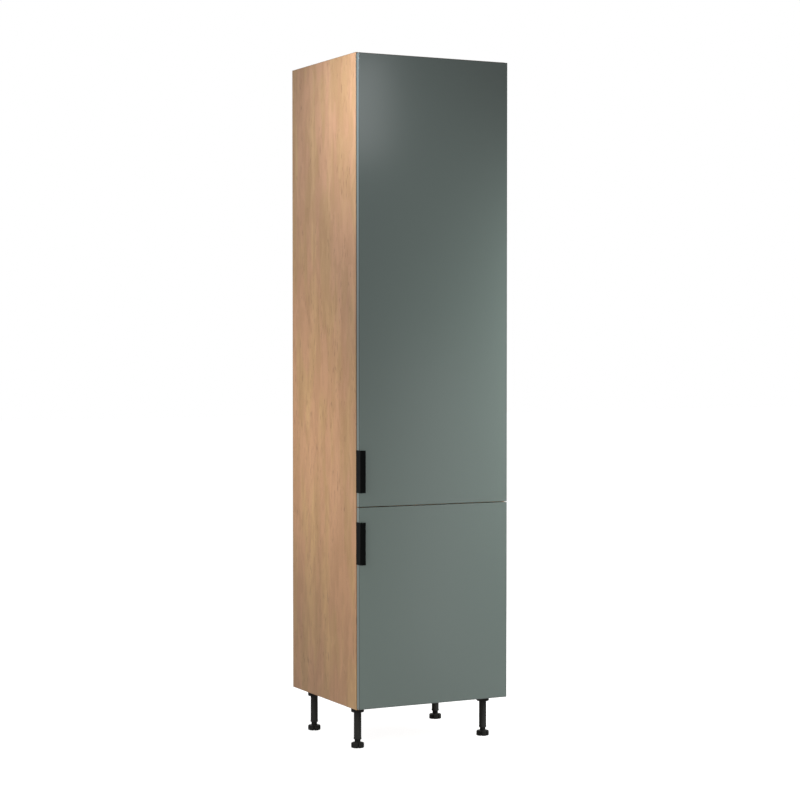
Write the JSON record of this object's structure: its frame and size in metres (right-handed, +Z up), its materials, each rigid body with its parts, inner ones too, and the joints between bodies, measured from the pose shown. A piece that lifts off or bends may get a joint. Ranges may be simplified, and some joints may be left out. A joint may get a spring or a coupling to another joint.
{
  "type": "tall kitchen cabinet",
  "caption": "Tall kitchen unit with a tall door over a short door on concealed hinges, edge-pull handles, shelves inside, on adjustable legs.",
  "frame": {"origin": "middle of the bounding box at floor level", "axes": "+Z up, -Y towards the front with the doors, +X to the right seen from the front"},
  "size_m": [0.6, 0.586, 2.464],
  "materials": {
    "oak_decor": "faced board with a honey oak decor, fine grain, satin",
    "door_lacquer": "satin grey green lacquer on fibreboard",
    "thin_back_board": "thin hard board, oak decor inside, bare brown behind",
    "handle_black": "black anodised, fine satin",
    "black_plastic": "moulded black plastic, fine texture",
    "nickel_plated_steel": "pressed steel, nickel plated, satin bright",
    "zinc_plated_steel": "zinc plated",
    "beech": "raw beech",
    "clear_bumper": "soft translucent",
    "white_plastic": "extruded off-white plastic"
  },
  "bodies": {
    "carcass": {"side_left": "oak_decor", "side_right": "oak_decor", "top_panel": "oak_decor", "bottom_panel": "oak_decor", "fixed_shelf": "oak_decor", "back_upper": "thin_back_board", "back_lower": "thin_back_board", "back_joint_strip": "white_plastic", "shelf_lower": "oak_decor", "shelf_upper_bottom": "oak_decor", "shelf_upper_middle": "oak_decor", "shelf_upper_top": "oak_decor", "shelf_pins": "zinc_plated_steel", "dowels": "beech", "leg_sockets": "black_plastic", "hinge_plates_upper": "nickel_plated_steel", "hinge_plates_lower": "nickel_plated_steel", "plate_screws": "zinc_plated_steel", "arm_screws": "zinc_plated_steel", "hinge_arm_pins": "nickel_plated_steel", "leg_front_left": "black_plastic", "leg_front_right": "black_plastic", "leg_rear_left": "black_plastic", "leg_rear_right": "black_plastic", "hinge_arm_upper_bottom": "nickel_plated_steel", "hinge_arm_upper_middle": "nickel_plated_steel", "hinge_arm_upper_top": "nickel_plated_steel", "hinge_arm_lower_bottom": "nickel_plated_steel", "hinge_arm_lower_top": "nickel_plated_steel"},
    "upper_door": {"door_upper": "door_lacquer", "handle_upper": "handle_black", "handle_screws_upper": "zinc_plated_steel", "bumpers_upper": "clear_bumper", "cup_screws_upper": "zinc_plated_steel", "hinge_cup_upper_bottom": "nickel_plated_steel", "hinge_cup_upper_middle": "nickel_plated_steel", "hinge_cup_upper_top": "nickel_plated_steel"},
    "lower_door": {"door_lower": "door_lacquer", "handle_lower": "handle_black", "handle_screws_lower": "zinc_plated_steel", "bumpers_lower": "clear_bumper", "cup_screws_lower": "zinc_plated_steel", "hinge_cup_lower_bottom": "nickel_plated_steel", "hinge_cup_lower_top": "nickel_plated_steel"},
    "upper_door_outer_links": {"upper_outer_links": "nickel_plated_steel", "upper_outer_link_pins": "nickel_plated_steel"},
    "upper_door_inner_links": {"upper_inner_links": "nickel_plated_steel", "upper_inner_link_pins": "nickel_plated_steel"},
    "lower_door_outer_links": {"lower_outer_links": "nickel_plated_steel", "lower_outer_link_pins": "nickel_plated_steel"},
    "lower_door_inner_links": {"lower_inner_links": "nickel_plated_steel", "lower_inner_link_pins": "nickel_plated_steel"},
    "front_left_foot": {"foot_front_left": "black_plastic"},
    "front_right_foot": {"foot_front_right": "black_plastic"},
    "rear_left_foot": {"foot_rear_left": "black_plastic"},
    "rear_right_foot": {"foot_rear_right": "black_plastic"}
  },
  "joints": [
    {"name": "upper_door_swing", "type": "hinge", "parent": "carcass", "child": "upper_door", "pos_m": [0.2906, -0.2715, 1.665], "axis": [0, 0, 1], "range_deg": [0, 110]},
    {"name": "upper_outer_link_swing", "type": "hinge", "parent": "carcass", "child": "upper_door_outer_links", "pos_m": [0.2655, -0.2615, 1.665], "axis": [0, 0, 1], "range_deg": [-20, 0]},
    {"name": "upper_inner_link_swing", "type": "hinge", "parent": "carcass", "child": "upper_door_inner_links", "pos_m": [0.2595, -0.248, 1.665], "axis": [0, 0, 1], "range_deg": [-23, 0]},
    {"name": "lower_door_swing", "type": "hinge", "parent": "carcass", "child": "lower_door", "pos_m": [0.2906, -0.2715, 0.5105], "axis": [0, 0, 1], "range_deg": [0, 110]},
    {"name": "lower_outer_link_swing", "type": "hinge", "parent": "carcass", "child": "lower_door_outer_links", "pos_m": [0.2655, -0.2615, 0.5105], "axis": [0, 0, 1], "range_deg": [-20, 0]},
    {"name": "lower_inner_link_swing", "type": "hinge", "parent": "carcass", "child": "lower_door_inner_links", "pos_m": [0.2595, -0.248, 0.5105], "axis": [0, 0, 1], "range_deg": [-23, 0]},
    {"name": "front_left_foot_height", "type": "slide", "parent": "carcass", "child": "front_left_foot", "axis": [0, 0, -1], "range_m": [-0.01, 0.015]},
    {"name": "front_right_foot_height", "type": "slide", "parent": "carcass", "child": "front_right_foot", "axis": [0, 0, -1], "range_m": [-0.01, 0.015]},
    {"name": "rear_left_foot_height", "type": "slide", "parent": "carcass", "child": "rear_left_foot", "axis": [0, 0, -1], "range_m": [-0.01, 0.015]},
    {"name": "rear_right_foot_height", "type": "slide", "parent": "carcass", "child": "rear_right_foot", "axis": [0, 0, -1], "range_m": [-0.01, 0.015]}
  ],
  "couplings": [
    {"joint": "upper_outer_link_swing", "follows": "upper_door_swing", "ratio": -0.181},
    {"joint": "upper_inner_link_swing", "follows": "upper_door_swing", "ratio": -0.206},
    {"joint": "lower_outer_link_swing", "follows": "lower_door_swing", "ratio": -0.181},
    {"joint": "lower_inner_link_swing", "follows": "lower_door_swing", "ratio": -0.206}
  ]
}
